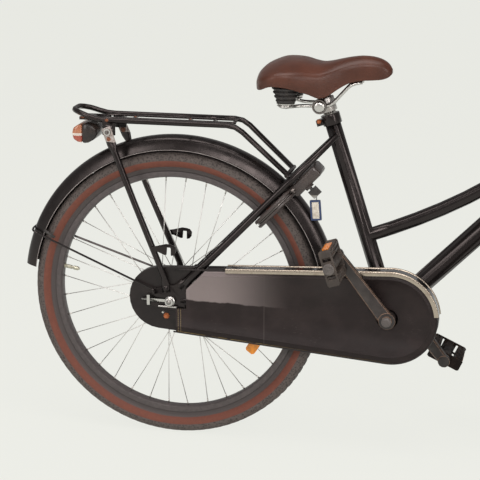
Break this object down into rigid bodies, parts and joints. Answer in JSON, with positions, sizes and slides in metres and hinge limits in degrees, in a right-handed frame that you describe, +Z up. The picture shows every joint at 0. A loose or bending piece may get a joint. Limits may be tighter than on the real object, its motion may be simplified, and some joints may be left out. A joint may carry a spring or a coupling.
{
  "type": "kids bike",
  "caption": "Step-through children's city bicycle with full chain case, luggage carrier, ring lock, sprung saddle, mudguards and lamps",
  "frame": {"origin": "on the ground under the middle of the bounding box", "axes": "X forwards, Y to the rider's left, Z up"},
  "size_m": [1.5824, 0.569, 0.9586],
  "materials": {
    "black_paint": "gloss black enamel",
    "black_plastic": "satin black",
    "bright_steel": "polished, slightly dulled",
    "dull_steel": "zinc plated, worn",
    "black_rubber": "matte",
    "tyre_rubber": "grey-black with a brown side stripe",
    "brown_saddle": "satin brown imitation leather",
    "red_lens": "clear red moulding"
  },
  "bodies": {
    "frame": {"bag_hook_left": "black_plastic", "bag_hook_right": "black_plastic", "bottom_bracket": "dull_steel", "carrier": "black_paint", "carrier_strut_left": "black_paint", "carrier_strut_right": "black_paint", "chain": "dull_steel", "chain_case_inner": "black_plastic", "chain_case_outer": "black_plastic", "chain_case_rear_end": "black_plastic", "chain_case_trim": "bright_steel", "chain_tensioner_right": "bright_steel", "coaster_arm": "dull_steel", "frame": "black_paint", "headset_lower_cup": "bright_steel", "headset_upper_cup": "bright_steel", "rear_axle": "dull_steel", "rear_axle_nut_left": "bright_steel", "rear_axle_nut_right": "bright_steel", "rear_light_housing": "black_plastic", "rear_light_lens": "red_lens", "rear_mudguard": "black_paint", "rear_mudguard_stay": "bright_steel", "ring_lock_body": "black_plastic", "seat_collar": "black_plastic"},
    "kickstand": {"kickstand_leg": "black_plastic"},
    "lock_shackle": {"ring_lock_shackle": "bright_steel"},
    "lock_key": {"ring_lock_key": "bright_steel"},
    "saddle": {"seat_post": "bright_steel", "saddle_clamp": "dull_steel", "saddle_rails": "dull_steel", "saddle_spring_right": "black_rubber", "saddle_spring_left": "black_rubber", "saddle_pad": "brown_saddle"},
    "rear_wheel": {"rear_tyre": "tyre_rubber", "rear_rim": "bright_steel", "rear_hub": "bright_steel"},
    "sprocket": {"rear_sprocket": "dull_steel"},
    "cranks": {"chainring": "dull_steel", "crank_spindle": "dull_steel", "crank_right": "black_paint", "crank_left": "black_paint"},
    "pedal_right": {"pedal_right": "black_plastic"},
    "pedal_left": {"pedal_left": "black_plastic"},
    "steering": {"fork": "black_paint", "stem": "bright_steel", "handlebar": "bright_steel", "grip_right": "black_rubber", "grip_left": "black_rubber", "headlight": "black_plastic", "front_mudguard": "black_paint", "brake_lever_bracket": "black_plastic", "brake_cable": "black_rubber", "front_axle": "dull_steel"},
    "brake_lever": {"brake_lever": "bright_steel"},
    "brake_arm_right": {"brake_arm_right": "black_plastic"},
    "brake_arm_left": {"brake_arm_left": "black_plastic"},
    "front_wheel": {"front_tyre": "tyre_rubber", "front_rim": "bright_steel", "front_hub": "bright_steel"}
  },
  "joints": [
    {"name": "rear_wheel_spin", "type": "hinge", "parent": "frame", "child": "rear_wheel", "pos_m": [-0.4669, 0.00578, 0.30306], "axis": [0, 1, 0], "continuous": true},
    {"name": "sprocket_spin", "type": "hinge", "parent": "frame", "child": "sprocket", "pos_m": [-0.4669, 0.00578, 0.30306], "axis": [0, 1, 0], "continuous": true},
    {"name": "crank_spin", "type": "hinge", "parent": "frame", "child": "cranks", "pos_m": [-0.01989, 0.00578, 0.29706], "axis": [0, 1, 0], "continuous": true},
    {"name": "pedal_right_spin", "type": "hinge", "parent": "cranks", "child": "pedal_right", "pos_m": [-0.12131, 0.00578, 0.42594], "axis": [0, 1, 0], "continuous": true},
    {"name": "pedal_left_spin", "type": "hinge", "parent": "cranks", "child": "pedal_left", "pos_m": [0.08152, 0.00578, 0.16818], "axis": [0, 1, 0], "continuous": true},
    {"name": "steering_turn", "type": "hinge", "parent": "frame", "child": "steering", "pos_m": [0.44638, 0.00578, 0.28621], "axis": [-0.3746, 0, 0.9272], "range_deg": [-40, 40]},
    {"name": "front_wheel_spin", "type": "hinge", "parent": "steering", "child": "front_wheel", "pos_m": [0.48811, 0.00578, 0.30306], "axis": [0, 1, 0], "continuous": true},
    {"name": "brake_lever_pull", "type": "hinge", "parent": "steering", "child": "brake_lever", "pos_m": [0.28432, -0.23411, 0.92115], "axis": [-0.1955, 0.6935, -0.6935], "range_deg": [0, 14], "stiffness_Nm_per_rad": 1.2},
    {"name": "brake_arm_right_swing", "type": "hinge", "parent": "steering", "child": "brake_arm_right", "pos_m": [0.38397, -0.03522, 0.50474], "axis": [-0.9272, 0, -0.3746], "range_deg": [0, 4]},
    {"name": "brake_arm_left_swing", "type": "hinge", "parent": "steering", "child": "brake_arm_left", "pos_m": [0.38397, 0.04678, 0.50474], "axis": [0.9272, 0, 0.3746], "range_deg": [0, 4]},
    {"name": "saddle_height", "type": "slide", "parent": "frame", "child": "saddle", "axis": [-0.3049, 0, 0.9524], "range_m": [0, 0.12]},
    {"name": "lock_shackle_close", "type": "hinge", "parent": "frame", "child": "lock_shackle", "pos_m": [-0.25729, 0.00578, 0.50109], "axis": [0.7205, 0, -0.6935], "range_deg": [0, 94], "stiffness_Nm_per_rad": 0.15},
    {"name": "lock_key_turn", "type": "hinge", "parent": "frame", "child": "lock_key", "pos_m": [-0.18951, -0.01222, 0.54759], "axis": [-0.7205, 0, 0.6935], "range_deg": [0, 90]},
    {"name": "kickstand_swing", "type": "hinge", "parent": "frame", "child": "kickstand", "pos_m": [-0.1919, 0.05928, 0.27006], "axis": [0.0112, -0.9615, -0.2747], "range_deg": [0, 70.8]}
  ],
  "couplings": [
    {"joint": "sprocket_spin", "follows": "crank_spin", "ratio": 2.1111},
    {"joint": "brake_arm_right_swing", "follows": "brake_lever_pull", "ratio": 0.27},
    {"joint": "brake_arm_left_swing", "follows": "brake_lever_pull", "ratio": 0.27}
  ]
}
